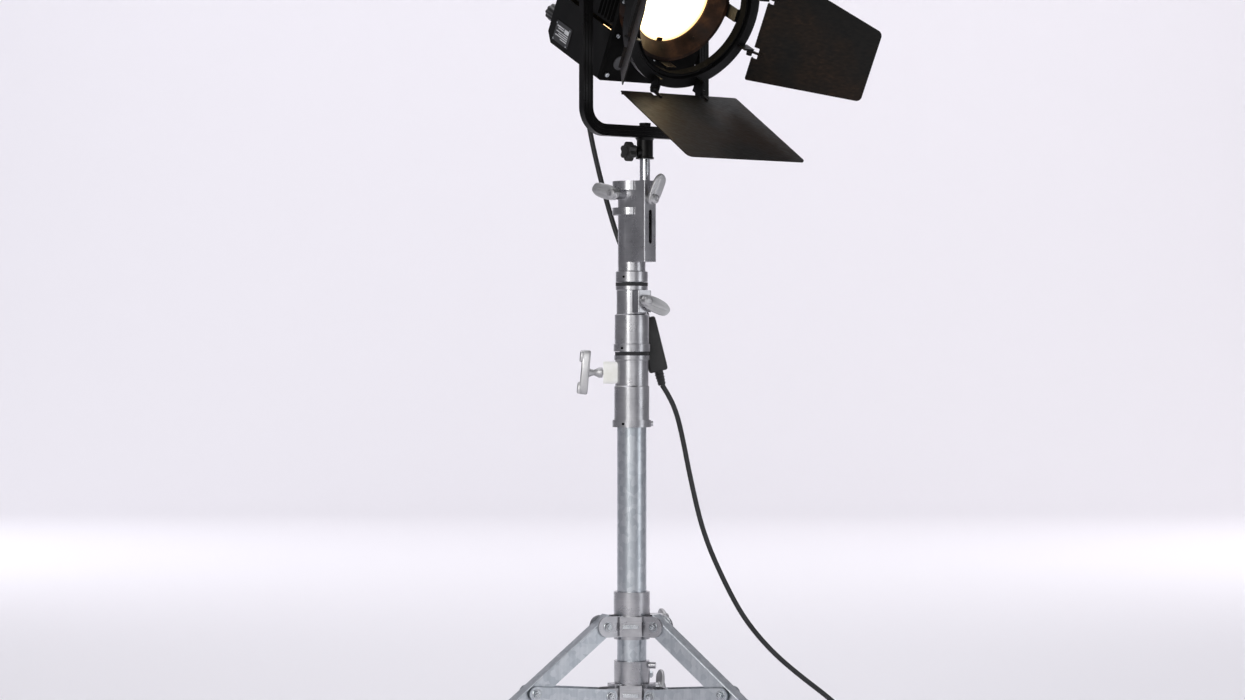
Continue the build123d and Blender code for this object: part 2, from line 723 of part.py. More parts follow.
def lamp_carriage():
    """The sliding base with its lamp holder."""
    sled = slab(-34, 34, -26, 52, -112, -108) + slab(-12, 12, -12, 12, -108, -40)
    holder = rod(14, (0, 0, -44), (0, 0, -30)) - rod(9, (0, 0, -36), (0, 0, -29))
    stalk = slab(-5, 5, 38, 41, -110, -38)
    return tilted(sled + holder + stalk)


def lamp():
    """A halogen lamp: a base, a tube and a round tip, with its light centre on the optical axis."""
    glass = rod(9, (0, 0, -28), (0, 0, 14)) + Pos(0, 0, 14) * Sphere(9)
    return tilted(glass + rod(9, (0, 0, -36), (0, 0, -28)))


def reflector():
    dish = Sphere(41) - Sphere(39.5)
    return tilted(dish & slab(-50, 50, 14, 60, -37.5, 50))


def trunnions():
    """The two tilt pins, each with a flange against the lamp house."""
    pins = []
    for side in (1, -1):
        flange = rod(13, (side * (BODY_HALF + 4), 0, 0), (side * 96, 0, 0))
        neck = rod(8, (side * 96, 0, 0), (side * 101.7, 0, 0))
        shaft = rod(5, (side * 101, 0, 0), (side * 134, 0, 0))
        pins.append(flange + neck + shaft)
    nut = Plane((-YOKE_HALF - YOKE_THICK / 2 - 0.3, 0, 0), z_dir=(-1, 0, 0)) * hex_head(17, 9)
    pins[1] = pins[1] + nut
    return tilted(Compound(pins))


def cable_gland():
    gland = rod(10, (GLAND_X, GLAND_Y, BASE_BOTTOM - 8), (GLAND_X, GLAND_Y, BASE_BOTTOM))
    nose = Plane((GLAND_X, GLAND_Y, BASE_BOTTOM - 8), z_dir=(0, 0, -1)) * Cone(8, 5.5, 14, align=LOW)
    thread = rod(6, (GLAND_X, GLAND_Y, BASE_BOTTOM), (GLAND_X, GLAND_Y, BASE_BOTTOM + 6))
    return tilted(gland + nose + thread)


def barndoor_carrier():
    """The fixed ring that the barndoor turns on."""
    ring = spun([(95, -125.5), (114, -125.5), (114, -127), (96.8, -127), (96.8, -140), (95, -140)])
    for k in range(3):
        lug = slab(95.4, 100.4, -140, -136.4, -4, 4) + slab(95.4, 96.5, -140, -130, -4, 4)
        ring = ring + Rot(0, 60 + 120 * k, 0) * lug
    return tilted(ring)


LEAVES = (
    ("leaf_right", 0, SIDE_HINGE, 90, 56, SIDE_LEAF_LENGTH, SIDE_LEAF_OPEN),
    ("leaf_bottom", 90, TOP_HINGE, 110, 110, TOP_LEAF_LENGTH, BOTTOM_LEAF_OPEN),
    ("leaf_left", 180, SIDE_HINGE, 90, 56, SIDE_LEAF_LENGTH, SIDE_LEAF_OPEN),
    ("leaf_top", -90, TOP_HINGE, 110, 110, TOP_LEAF_LENGTH, TOP_LEAF_OPEN),
)
HINGE_PIN_R = 2.5
HINGE_AT = 42


def barndoor_ring():
    """The turning ring with two hinge ears and pins for each leaf."""
    ring = spun(
        [
            (96.8 + FIT, DOOR_BACK),
            (DOOR_R, DOOR_BACK),
            (DOOR_R, DOOR_FRONT),
            (103, DOOR_FRONT),
            (101, -136),
            (96.8 + FIT, -136),
        ]
    )
    for _, roll, hinge, _, _, _, _ in LEAVES:
        for side in (1, -1):
            inside = side * (HINGE_AT - 3)
            ear = slab(98, hinge + 4, HINGE_Y - 4, DOOR_FRONT + 1, side * HINGE_AT, inside)
            pin = rod(HINGE_PIN_R, (hinge, HINGE_Y, inside), (hinge, HINGE_Y, side * (HINGE_AT + 6)))
            head_in = side * (HINGE_AT + 4)
            head = rod(4.5, (hinge, HINGE_Y, head_in), (hinge, HINGE_Y, side * (HINGE_AT + 8)))
            ring = ring + Rot(0, roll, 0) * (ear + pin + head)
    return tilted(ring)


def leaf(roll, hinge, half_root, half_tip, length, opening):
    """A sheet leaf that hangs on the ring's pins by two lugs, with a stiffening lip at its root."""
    outline = Polyline(
        (-4, half_root), (-length, half_tip), (-length, -half_tip), (-4, -half_root), close=True
    )
    face = make_face(outline)
    face = fillet(face.vertices().sort_by(Axis.X)[:2], 9)
    face = fillet(face.vertices().sort_by(Axis.X)[-2:], 3)
    sheet = Plane((3, 0, 0), x_dir=(0, 1, 0), z_dir=(1, 0, 0)) * extrude(face, 1.5)
    lip = slab(4, 9, -5.5, -4, -half_root + 4, half_root - 4)
    door = sheet + lip
    for side in (1, -1):
        notch = slab(0, 12, -13, 2, side * (HINGE_AT - 6), side * (HINGE_AT + 11))
        lug = rod(5, (0, 0, side * (HINGE_AT + 0.5)), (0, 0, side * (HINGE_AT + 3.5)))
        strap = slab(0, 4.5, -20, 0, side * (HINGE_AT + 0.5), side * (HINGE_AT + 3.5))
        hole = rod(HINGE_PIN_R + FIT, (0, 0, side * HINGE_AT), (0, 0, side * (HINGE_AT + 4)))
        door = door - notch + lug + strap - hole
    return tilted(Rot(0, roll, 0) * Pos(hinge, HINGE_Y, 0) * Rot(0, 0, opening) * door)


# ---------------------------------------------------------------- leads

BOX_TOP = Vector(21.5, 44, 831)
BOX_BOTTOM = Vector(42.3, 44, 747.4)
BOX_RELIEF = 22

MAINS_ROUTE = (
    (57, 46, 712),
    (70, 50, 684),
    (80, 54, 643),
    (92, 59, 580),
    (113, 67, 490),
    (149, 79, 409),
    (180, 88, 353),
    (222, 99, 303),
    (268, 109, 263),
    (319, 118, 224),
    (372, 127, 172),
    (424, 136, 112),
    (466, 143, 58),
    (500, 149, 24),
    (534, 155, 7.5),
    (570, 161, 4.2),
)


def box_axis():
    return (BOX_BOTTOM - BOX_TOP).normalized()


def below_gland(drop):
    """A point on the gland's axis, below the tray's floor."""
    return tilted(Pos(GLAND_X, GLAND_Y, BASE_BOTTOM - drop) * Box(1, 1, 1)).center()


def head_route():
    """From the gland, down behind the yoke and the column, to the in-line box."""
    end = BOX_TOP - box_axis() * BOX_RELIEF
    return [
        below_gland(22),
        below_gland(42),
        Vector(-74, 94, 1180),
        Vector(-65, 80, 1120),
        Vector(-49, 62, 1050),
        Vector(-37, 48, 1006),
        Vector(-24, 41, 962),
        Vector(-6, 42, 915),
        end - box_axis() * 32,
        end,
    ]


def mains_route():
    start = BOX_BOTTOM + box_axis() * BOX_RELIEF
    return [start] + [Vector(p) for p in MAINS_ROUTE]


def cord_tube(points):
    """A round tube along straight runs joined by the largest tangent arcs that fit."""
    radii = []
    for before, corner, after in zip(points, points[1:], points[2:]):
        arriving = corner - before
        leaving = after - corner
        half_turn = math.radians(arriving.get_angle(leaving)) / 2
        shorter = min(arriving.length, leaving.length)
        radii.append(0.45 * shorter / math.tan(half_turn))
    path = FilletPolyline(*points, radius=radii)
    return sweep(Plane(path @ 0, z_dir=path % 0) * Circle(CORD_R), path)


def box_place():
    return Plane(BOX_TOP, x_dir=(1, 0, 0.25), z_dir=box_axis())


def inline_box():
    """A moulded switch box with a sleeve at each end, hanging in the lead."""
    length = (BOX_BOTTOM - BOX_TOP).length
    body = Box(30, 25, length, align=LOW)
    body = fillet(body.edges(), 4)
    body = body - Pos(0, -12.5, 46) * Box(13, 4, 21)
    body = body + Pos(0, 0, -BOX_RELIEF) * Cone(5.5, 7, BOX_RELIEF + 1, align=LOW)
    body = body + Pos(0, 0, length - 1) * Cone(7, 5.5, BOX_RELIEF + 1, align=LOW)
    return box_place() * body


def rocker():
    """The rocker in the box's face, on its own cross pin."""
    body = rod(5, (-5.8, -14, 46), (5.8, -14, 46))
    body = body + slab(-5.8, 5.8, -14.6, -12.2, 38, 54)
    return box_place() * (body & slab(-6, 6, -16.4, -11.3, 30, 60))


def coil_place():
    """The middle of the coil, so that the lead runs onto its widest turn."""
    end = Vector(MAINS_ROUTE[-1])
    along = (end - Vector(MAINS_ROUTE[-2])).normalized()
    return Pos(end.X - along.Y * COIL_TURN_R, end.Y + along.X * COIL_TURN_R, 0)


def cord_coil():
    """The outer shape of the spare lead, coiled flat on the floor."""
    section = RectangleRounded(2 * COIL_HALF_WIDTH, COIL_HEIGHT, 6)
    ring = revolve(Plane.XZ * Pos(COIL_R, COIL_HEIGHT / 2) * section, Axis.Z)
    return coil_place() * ring


def plug():
    """A round earthed mains plug on the lead's end, lying beside the coil."""
    body = turned([(0, 0), (6, 0), (7.5, 34), (17, 42), (19, 46), (19, 74), (0, 74)])
    for side in (1, -1):
        body = body + Pos(side * 9.5, 0, 73) * Cylinder(2.4, 20, align=LOW)
    lying = Pos(COIL_TURN_R, 24, 19) * Rot(-90, 0, 0) * body
    return coil_place() * Rot(0, 0, COIL_LEAVES_AT) * lying


def main():
    os.makedirs("parts", exist_ok=True)
    single = (
        base_tube, base_plug, column_casting, column_bumper, nylon_boss, column_t_knob,
        lower_spider, lower_wing, upper_spider, upper_wing,
        riser_1_tube, riser_1_casting, riser_1_bumper, riser_1_wing, riser_2_tube,
        combo_head, receiver_wing, pin_wing, combo_pin,
        yoke, spigot_socket, yoke_clamp_knob, tilt_lock_knob,
        base_box, housing, rear_cover, front_frame, lens_ring, fresnel_lens, lens_clips,
        accessory_brackets, bracket_latch, label_plate, focus_knob,
        lamp_carriage, lamp, reflector, trunnions, cable_gland,
        barndoor_carrier, barndoor_ring, inline_box, rocker, cord_coil, plug,
    )
    for make in single:
        save(make.__name__, make())
    for number, azimuth in enumerate(LEG_DIRECTIONS, 1):
        save(f"leg_{number}", leg(azimuth))
        save(f"foot_{number}", foot(azimuth))
        save(f"brace_{number}", brace(azimuth))
    for name, *shape in LEAVES:
        save(name, leaf(*shape))
    save("head_lead", cord_tube(head_route()))
    save("mains_lead", cord_tube(mains_route()))


main()
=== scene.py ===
"""A fresnel spotlight with barndoors on a combo stand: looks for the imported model."""

import json
import math

import bmesh
import bpy
from mathutils import Matrix, Vector


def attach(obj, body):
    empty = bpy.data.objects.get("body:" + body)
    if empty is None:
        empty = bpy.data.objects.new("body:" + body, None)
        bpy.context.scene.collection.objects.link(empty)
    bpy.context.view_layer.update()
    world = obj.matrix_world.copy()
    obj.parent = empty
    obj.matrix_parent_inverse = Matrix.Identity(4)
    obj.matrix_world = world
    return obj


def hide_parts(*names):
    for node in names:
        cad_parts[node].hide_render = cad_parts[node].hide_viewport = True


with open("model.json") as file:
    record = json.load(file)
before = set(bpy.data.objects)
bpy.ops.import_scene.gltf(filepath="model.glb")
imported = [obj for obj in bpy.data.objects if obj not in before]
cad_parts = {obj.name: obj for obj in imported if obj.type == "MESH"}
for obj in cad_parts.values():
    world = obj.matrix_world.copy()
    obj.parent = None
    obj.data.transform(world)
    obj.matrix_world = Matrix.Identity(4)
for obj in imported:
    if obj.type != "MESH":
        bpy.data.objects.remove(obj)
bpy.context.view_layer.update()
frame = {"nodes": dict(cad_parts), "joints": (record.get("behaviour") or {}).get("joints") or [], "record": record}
nodes = frame["nodes"]
scene = bpy.context.scene


# ---------------------------------------------------------------- places


def joint(name):
    return next(j for j in frame["joints"] if j["name"] == name)


def joint_point(name):
    return Vector(joint(name)["pos_m"])


def joint_axis(name):
    return Vector(joint(name)["axis"]).normalized()


def axes(origin, x, z):
    """A matrix at origin whose X and Z point along x and z."""
    z = z.normalized()
    x = (x - z * x.dot(z)).normalized()
    y = z.cross(x)
    turn = Matrix((x, y, z)).transposed().to_4x4()
    return Matrix.Translation(origin) @ turn


TILT_POINT = joint_point("head_tilt")
ACROSS = -joint_axis("head_tilt")
BEAM = joint_axis("barndoor_turn")
HEAD = axes(TILT_POINT, ACROSS, ACROSS.cross(-BEAM))
YOKE = axes(TILT_POINT, ACROSS, Vector((0, 0, 1)))

LENS_CENTRE = HEAD @ Vector((0, -0.072, 0))
LENS_RADIUS = 0.075

LEG_DIRECTIONS = (87, 207, 327)
LEG_PIVOT_RADIUS = 0.049
LEG_PIVOT_HEIGHT = 0.355
BRACE_PIVOT_RADIUS = 0.046
BRACE_PIVOT_HEIGHT = 0.248
BRACE_SLOPE = 4.97
BRACE_LENGTH = 0.1264


# ---------------------------------------------------------------- camera, light and floor


CAMERA_PLACE = (-0.0144, -4.34, 0.781)
CAMERA_LENS = 80.96
WORLD_COLOUR = (0.93, 0.92, 1.0, 1)
WORLD_STRENGTH = 0.22

# name, place, target, size, power, colour
AREA_LIGHTS = (
    ("key", (-1.5, -3.2, 1.9), (0, 0, 0.8), (0.9, 2.4), 44, (1, 0.99, 0.97)),
    ("fill", (2.6, -1.4, 1.3), (0, 0, 0.8), (1.1, 2.4), 14, (0.95, 0.97, 1)),
    ("front", (0.3, -5.2, 2.1), (0, 0, 0.7), (3.4, 2.2), 44, (1, 1, 1)),
    ("wall_left", (-5.0, 5.6, 3.2), (1.0, 12, 1.6), (2.4, 3.0), 178, (0.97, 0.955, 1)),
    ("wall_right", (5.0, 5.6, 3.2), (-1.0, 12, 1.6), (2.4, 3.0), 178, (1, 0.965, 0.99)),
    ("wall_centre", (0, 6.0, 5.2), (0.2, 12, 1.8), (3.0, 2.0), 26, (1, 0.975, 1)),
    ("floor_wash", (0, 1.6, 6.5), (0, 1.7, 0), (9.0, 8.0), 345, (0.98, 0.97, 1)),
)


def make_camera():
    data = bpy.data.cameras.new("camera")
    data.lens = CAMERA_LENS
    data.sensor_width = 36
    data.clip_end = 60
    camera = bpy.data.objects.new("camera", data)
    camera.location = CAMERA_PLACE
    camera.rotation_euler = (math.pi / 2, 0, 0)
    scene.collection.objects.link(camera)
    scene.camera = camera


def area_light(name, place, target, size, power, colour):
    data = bpy.data.lights.new(name, "AREA")
    data.shape = "RECTANGLE"
    data.size, data.size_y = size
    data.energy = power
    data.color = colour
    light = bpy.data.objects.new(name, data)
    light.location = place
    light.rotation_euler = (Vector(target) - Vector(place)).to_track_quat("-Z", "Y").to_euler()
    scene.collection.objects.link(light)


def make_lights():
    world = bpy.data.worlds.new("studio")
    world.use_nodes = True
    back = world.node_tree.nodes["Background"]
    back.inputs["Color"].default_value = WORLD_COLOUR
    back.inputs["Strength"].default_value = WORLD_STRENGTH
    scene.world = world
    scene.view_settings.view_transform = "Standard"
    for light in AREA_LIGHTS:
        area_light(*light)


def make_floor():
    """A pale floor that curves up into a wall well behind the object."""
    reach = 15
    wall = 9
    radius = 3
    steps = 16
    profile = [(-reach, 0), (wall, 0)]
    for k in range(1, steps + 1):
        angle = math.pi / 2 * k / steps
        profile.append((wall + radius * math.sin(angle), radius * (1 - math.cos(angle))))
    profile.append((wall + radius, wall))
    mesh = bmesh.new()
    rows = []
    for y, z in profile:
        rows.append([mesh.verts.new((x, y, z)) for x in (-reach, reach)])
    for low, high in zip(rows, rows[1:]):
        mesh.faces.new((low[0], low[1], high[1], high[0]))
    data = bpy.data.meshes.new("floor")
    mesh.to_mesh(data)
    floor = bpy.data.objects.new("floor", data)
    data.shade_smooth()
    scene.collection.objects.link(floor)
    paint = bpy.data.materials.new("floor")
    paint.use_nodes = True
    shader = paint.node_tree.nodes["Principled BSDF"]
    shader.inputs["Base Color"].default_value = (0.88, 0.87, 0.90, 1)
    shader.inputs["Roughness"].default_value = 0.8
    data.materials.append(paint)


# ---------------------------------------------------------------- materials


class Paint:
    """A principled material and short ways to add procedural detail to it."""

    def __init__(self, name, colour, rough, metal=0.0):
        self.material = bpy.data.materials.new(name)
        self.material.use_nodes = True
        self.tree = self.material.node_tree
        self.shader = self.tree.nodes["Principled BSDF"]
        self.set("Base Color", (*colour, 1))
        self.set("Roughness", rough)
        self.set("Metallic", metal)
        self.place = self.node("ShaderNodeTexCoord").outputs["Object"]

    def set(self, socket, value):
        self.shader.inputs[socket].default_value = value
        return self

    def node(self, kind, **values):
        made = self.tree.nodes.new(kind)
        for key, value in values.items():
            setattr(made, key, value)
        return made

    def link(self, source, target):
        self.tree.links.new(source, target)

    def spread(self, stretch=(1, 1, 1), turn=(0, 0, 0)):
        """The object's own coordinates, stretched for streaks and turned to lie along a part."""
        mapping = self.node("ShaderNodeMapping")
        mapping.inputs["Rotation"].default_value = turn
        mapping.inputs["Scale"].default_value = stretch
        self.link(self.place, mapping.inputs["Vector"])
        return mapping.outputs["Vector"]

    def noise(self, scale, detail=4.0, where=None, rough=0.55):
        made = self.node("ShaderNodeTexNoise")
        made.inputs["Scale"].default_value = scale
        made.inputs["Detail"].default_value = detail
        made.inputs["Roughness"].default_value = rough
        self.link(where or self.place, made.inputs["Vector"])
        return made.outputs["Fac"]

    def ramp(self, source, stops):
        """Colours or grey values along a 0 to 1 source."""
        made = self.node("ShaderNodeValToRGB")
        points = made.color_ramp.elements
        while len(points) < len(stops):
            points.new(0.5)
        for point, (at, value) in zip(points, stops):
            point.position = at
            point.color = (*value, 1) if isinstance(value, tuple) else (value, value, value, 1)
        self.link(source, made.inputs["Fac"])
        return made.outputs["Color"]

    def mix(self, factor, a, b, blend="MIX"):
        made = self.node("ShaderNodeMix", data_type="RGBA", blend_type=blend)
        for socket, value in ((made.inputs[0], factor), (made.inputs[6], a), (made.inputs[7], b)):
            if isinstance(value, (int, float)):
                socket.default_value = value
            elif isinstance(value, tuple):
                socket.default_value = (*value, 1)
            else:
                self.link(value, socket)
        return made.outputs[2]

    def colour(self, source):
        self.link(source, self.shader.inputs["Base Color"])
        return self

    def rough(self, source):
        self.link(source, self.shader.inputs["Roughness"])
        return self

    def bump(self, source, strength, distance):
        made = self.node("ShaderNodeBump")
        made.inputs["Strength"].default_value = strength
        made.inputs["Distance"].default_value = distance
        self.link(source, made.inputs["Height"])
        self.link(made.outputs["Normal"], self.shader.inputs["Normal"])
        return self


def satin_cast():
    """Machined and cast aluminium: fine turning lines, grey handling marks."""
    paint = Paint("satin_cast", (0.62, 0.62, 0.64), 0.3, 1.0)
    lines = paint.noise(900, 2, paint.spread((0.03, 0.03, 1)))
    marks = paint.noise(28, 5)
    tint = paint.ramp(
        marks,
        [(0.3, (0.36, 0.36, 0.375)), (0.62, (0.50, 0.50, 0.515)), (0.8, (0.60, 0.60, 0.61))],
    )
    paint.colour(paint.mix(0.12, tint, lines, "OVERLAY"))
    paint.rough(paint.ramp(paint.noise(55, 5), [(0.3, 0.25), (0.7, 0.34)]))
    return paint.bump(lines, 0.02, 0.0001).material


def wing_cast():
    """Sand-cast handles: a fine pebbled skin, duller than the turned parts."""
    paint = Paint("wing_cast", (0.5, 0.5, 0.5), 0.42, 1.0)
    grain = paint.noise(650, 3)
    paint.colour(paint.ramp(paint.noise(35, 5), [(0.3, (0.42, 0.42, 0.425)), (0.7, (0.54, 0.54, 0.545))]))
    paint.rough(paint.ramp(paint.noise(90, 4), [(0.3, 0.34), (0.7, 0.52)]))
    return paint.bump(grain, 0.35, 0.0006).material


def galvanised():
    """Zinc-coated steel: a faint blue spangle, streaked along the tube."""
    paint = Paint("galvanised", (0.6, 0.63, 0.66), 0.34, 1.0)
    spangle = paint.node("ShaderNodeTexVoronoi", feature="F1")
    spangle.inputs["Scale"].default_value = 120
    paint.link(paint.place, spangle.inputs["Vector"])
    cells = paint.ramp(spangle.outputs["Color"], [(0.2, (0.45, 0.485, 0.515)), (0.8, (0.56, 0.59, 0.615))])
    streaks = paint.noise(260, 3, paint.spread((1, 1, 0.03)))
    paint.colour(paint.mix(0.18, cells, streaks, "OVERLAY"))
    paint.rough(paint.ramp(paint.noise(70, 5), [(0.3, 0.28), (0.7, 0.36)]))
    return paint.bump(streaks, 0.06, 0.0002).material


def plated_steel():
    paint = Paint("plated_steel", (0.66, 0.69, 0.7), 0.22, 1.0)
    scratches = paint.noise(1400, 2, paint.spread((1, 1, 0.02)))
    paint.colour(paint.ramp(paint.noise(40, 5), [(0.35, (0.40, 0.43, 0.45)), (0.65, (0.60, 0.62, 0.63))]))
    paint.rough(paint.ramp(scratches, [(0.3, 0.14), (0.7, 0.34)]))
    return paint.bump(scratches, 0.15, 0.0002).material


# heights between which the pin's painted shade (nearly black, for its part in the head's slot) fades into its
# plated colour
PIN_SHADE_TOP = 1.026
PIN_BRIGHT_FROM = 1.034


def pin_steel():
    """Plated pin, painted nearly black on the part that stays inside the head: painted shade where it shows in the
    head's slot.
    """
    paint = Paint("pin_steel", (0.6, 0.62, 0.63), 0.24, 1.0)
    height = paint.node("ShaderNodeSeparateXYZ")
    paint.link(paint.place, height.inputs[0])
    slot_shade = paint.node("ShaderNodeMapRange")
    slot_shade.inputs["From Min"].default_value = PIN_SHADE_TOP
    slot_shade.inputs["From Max"].default_value = PIN_BRIGHT_FROM
    paint.link(height.outputs["Z"], slot_shade.inputs["Value"])
    bright = paint.ramp(paint.noise(40, 5), [(0.35, (0.48, 0.51, 0.53)), (0.65, (0.66, 0.68, 0.69))])
    # painted shade: nearly black below the slot's top, the pin's own plated colour above
    paint.colour(paint.mix(slot_shade.outputs["Result"], (0.008, 0.008, 0.009), bright))
    return paint.rough(paint.ramp(paint.noise(90, 4), [(0.3, 0.2), (0.7, 0.34)])).material


def black_paint():
    """Heat-proof satin black over metal, with a fine texture, dull patches and grey rubbed specks."""
    paint = Paint("black_paint", (0.004, 0.004, 0.0045), 0.3)
    paint.set("Specular IOR Level", 0.16)
    base = paint.ramp(paint.noise(24, 6), [(0.3, (0.0035, 0.0035, 0.0038)), (0.75, (0.007, 0.0068, 0.0066))])
    specks = paint.ramp(paint.noise(210, 6, rough=0.7), [(0.7, 0.0), (0.78, 0.5)])
    paint.colour(paint.mix(specks, base, (0.05, 0.047, 0.044)))
    paint.rough(paint.ramp(paint.noise(60, 4), [(0.3, 0.26), (0.7, 0.4)]))
    return paint.bump(paint.noise(1100, 2), 0.15, 0.0002).material


def leaf_paint():
    """Barndoor sheet: black paint rubbed thin in brown streaks along the leaf."""
    paint = Paint("leaf_paint", (0.01, 0.009, 0.008), 0.42)
    paint.set("Specular IOR Level", 0.12)
    streaks = paint.noise(300, 4, paint.spread((0.06, 1, 1), (0.3, 0.45, 0.6)))
    blotches = paint.noise(9, 4)
    brown = paint.ramp(
        streaks,
        [(0.35, (0.010, 0.007, 0.005)), (0.62, (0.022, 0.013, 0.008)), (0.8, (0.05, 0.028, 0.016))],
    )
    black = paint.ramp(streaks, [(0.3, (0.005, 0.005, 0.005)), (0.8, (0.012, 0.011, 0.010))])
    paint.colour(paint.mix(paint.ramp(blotches, [(0.42, 0.0), (0.6, 0.8)]), black, brown))
    paint.rough(paint.ramp(streaks, [(0.3, 0.34), (0.7, 0.55)]))
    return paint.bump(streaks, 0.3, 0.0004).material


def heat_brown():
    """Paint browned by the lamp's heat, blotched, with bare coppery specks."""
    paint = Paint("heat_brown", (0.04, 0.02, 0.012), 0.45, 0.1)
    paint.set("Specular IOR Level", 0.15)
    blotches = paint.noise(32, 6)
    tint = paint.ramp(
        blotches,
        [(0.3, (0.006, 0.0035, 0.0025)), (0.52, (0.022, 0.010, 0.006)), (0.75, (0.07, 0.032, 0.015))],
    )
    paint.colour(tint)
    paint.rough(paint.ramp(blotches, [(0.3, 0.36), (0.7, 0.58)]))
    return paint.bump(paint.noise(420, 3), 0.3, 0.0004).material


def plastic(name, colour, rough, grain=500, specular=0.4):
    """Moulded plastic: a fine matte grain and slight wear."""
    paint = Paint(name, colour, rough)
    paint.set("Specular IOR Level", specular)
    bright = tuple(min(1, c * 1.7 + 0.004) for c in colour)
    paint.colour(paint.ramp(paint.noise(30, 5), [(0.35, colour), (0.8, bright)]))
    paint.rough(paint.ramp(paint.noise(120, 3), [(0.3, rough - 0.08), (0.7, rough + 0.1)]))
    return paint.bump(paint.noise(grain, 2), 0.2, 0.0003).material


def glowing(name, strength):
    """The lit lens: a hot warm centre that fades towards the rim."""
    paint = Paint(name, (0.9, 0.88, 0.82), 0.15)
    paint.set("Emission Strength", strength)
    away = paint.node("ShaderNodeVectorMath", operation="DISTANCE")
    away.inputs[1].default_value = LENS_CENTRE
    paint.link(paint.place, away.inputs[0])
    spread = paint.node("ShaderNodeMapRange")
    spread.inputs["From Max"].default_value = LENS_RADIUS
    paint.link(away.outputs["Value"], spread.inputs["Value"])
    glow = paint.ramp(
        spread.outputs["Result"],
        [
            (0.0, (1.0, 0.92, 0.74)),
            (0.5, (1.0, 0.86, 0.58)),
            (0.8, (0.9, 0.62, 0.28)),
            (1.0, (0.45, 0.22, 0.07)),
        ],
    )
    paint.link(glow, paint.shader.inputs["Emission Color"])
    return paint.material


def vent_light():
    """The lamp's glow on the tray's inner edge, uneven along the gap."""
    paint = Paint("vent_light", (0.6, 0.4, 0.2), 0.5)
    paint.set("Emission Strength", 2.2)
    glow = paint.ramp(paint.noise(90, 3), [(0.35, (1.0, 0.50, 0.16)), (0.65, (1.0, 0.78, 0.45))])
    paint.link(glow, paint.shader.inputs["Emission Color"])
    return paint.material


def mirror_metal():
    paint = Paint("bright_reflector", (0.86, 0.86, 0.84), 0.12, 1.0)
    return paint.rough(paint.ramp(paint.noise(60, 4), [(0.3, 0.06), (0.7, 0.2)])).material


MATERIALS = {
    "satin_cast": satin_cast(),
    "wing_cast": wing_cast(),
    "galvanised": galvanised(),
    "plated_steel": plated_steel(),
    "black_paint": black_paint(),
    "pin_steel": pin_steel(),
    "leaf_paint": leaf_paint(),
    "matt_black": plastic("matt_black", (0.003, 0.003, 0.003), 0.75, 900, 0.04),
    # painted shade: near black without shine, for the set screws deep in their holes
    "hole_shade_black": plastic("hole_shade_black", (0.002, 0.002, 0.002), 0.9, 900, 0.0),
    "heat_brown": heat_brown(),
    "black_rubber": plastic("black_rubber", (0.018, 0.018, 0.02), 0.7, 300),
    "black_plastic": plastic("black_plastic", (0.012, 0.012, 0.012), 0.38),
    "white_nylon": plastic("white_nylon", (0.78, 0.78, 0.72), 0.42),
    "cord_pvc": plastic("cord_pvc", (0.014, 0.014, 0.015), 0.45, 900),
    "lens_glass": glowing("lens_glass", 3.2),
    "lamp_glow": glowing("lamp_glow", 8.0),
    "vent_light": vent_light(),
    "label_print": plastic("label_print", (0.03, 0.03, 0.032), 0.35),
    "label_ink": plastic("label_ink", (0.42, 0.43, 0.44), 0.45),
    "bright_reflector": mirror_metal(),
    "dark_steel": plastic("dark_steel", (0.12, 0.12, 0.12), 0.4),
}


EASED_EDGE = 0.0005
BEVEL_OVER = 40
SHARP_OVER = 35
BLACKENED = ("barndoor_carrier", "front_frame")


def finish_cad_nodes():
    """Gives each CAD node its slot's material and a small bevel that catches the light."""
    slots = {part["node"]: part["material_slot"] for part in frame["record"]["subparts"]}
    for name, node in nodes.items():
        material = MATERIALS[slots[name]]
        if name.startswith("leaf_"):
            material = MATERIALS["leaf_paint"]
        # the pin's material paints shade on its lower part, where it shows in the slot
        if name == "combo_pin":
            material = MATERIALS["pin_steel"]
        if name in BLACKENED:
            material = MATERIALS["matt_black"]
        node.data.materials.clear()
        node.data.materials.append(material)
        soften(node)
        bevel = node.modifiers.new("eased_edges", "BEVEL")
        bevel.width = EASED_EDGE
        bevel.segments = 2
        bevel.limit_method = "ANGLE"
        bevel.angle_limit = math.radians(BEVEL_OVER)
        bevel.harden_normals = True


# ---------------------------------------------------------------- leads

CORD = 0.008
CORD_IN_BOX = 0.022
GLAND_FACE = (-0.008, 0.066, -0.162)
BELOW_GLAND = (-0.008, 0.066, -0.182)
COIL_STEPS = 24
COIL_LEAVES_AT = 55
COIL_CLIMB_FROM = 0.84

# radius and height of each turn of the coil, in the order it is laid
COIL_TURNS = (
    (0.054, 0.0042),
    (0.046, 0.0042),
    (0.038, 0.0042),
    (0.038, 0.0122),
    (0.046, 0.0122),
    (0.054, 0.0122),
    (0.046, 0.0202),
    (0.054, 0.0198),
)

HEAD_ROUTE = (
    (-0.0740, 0.0940, 1.180),
    (-0.0650, 0.0800, 1.120),
    (-0.0490, 0.0620, 1.050),
    (-0.0370, 0.0480, 1.006),
    (-0.0240, 0.0410, 0.962),
    (-0.0060, 0.0420, 0.915),
)

MAINS_ROUTE = (
    (0.057, 0.046, 0.712),
    (0.070, 0.050, 0.684),
    (0.080, 0.054, 0.643),
    (0.092, 0.059, 0.580),
    (0.113, 0.067, 0.490),
    (0.149, 0.079, 0.409),
    (0.180, 0.088, 0.353),
    (0.222, 0.099, 0.303),
    (0.268, 0.109, 0.263),
    (0.319, 0.118, 0.224),
    (0.372, 0.127, 0.172),
    (0.424, 0.136, 0.112),
    (0.466, 0.143, 0.058),
    (0.500, 0.149, 0.024),
    (0.534, 0.155, 0.0075),
    (0.570, 0.161, 0.0042),
)


def box_line():
    """The in-line box's top and bottom ends, and its axis."""
    top = Vector((0.0215, 0.044, 0.831))
    bottom = Vector((0.0423, 0.044, 0.7474))
    return top, bottom, (bottom - top).normalized()


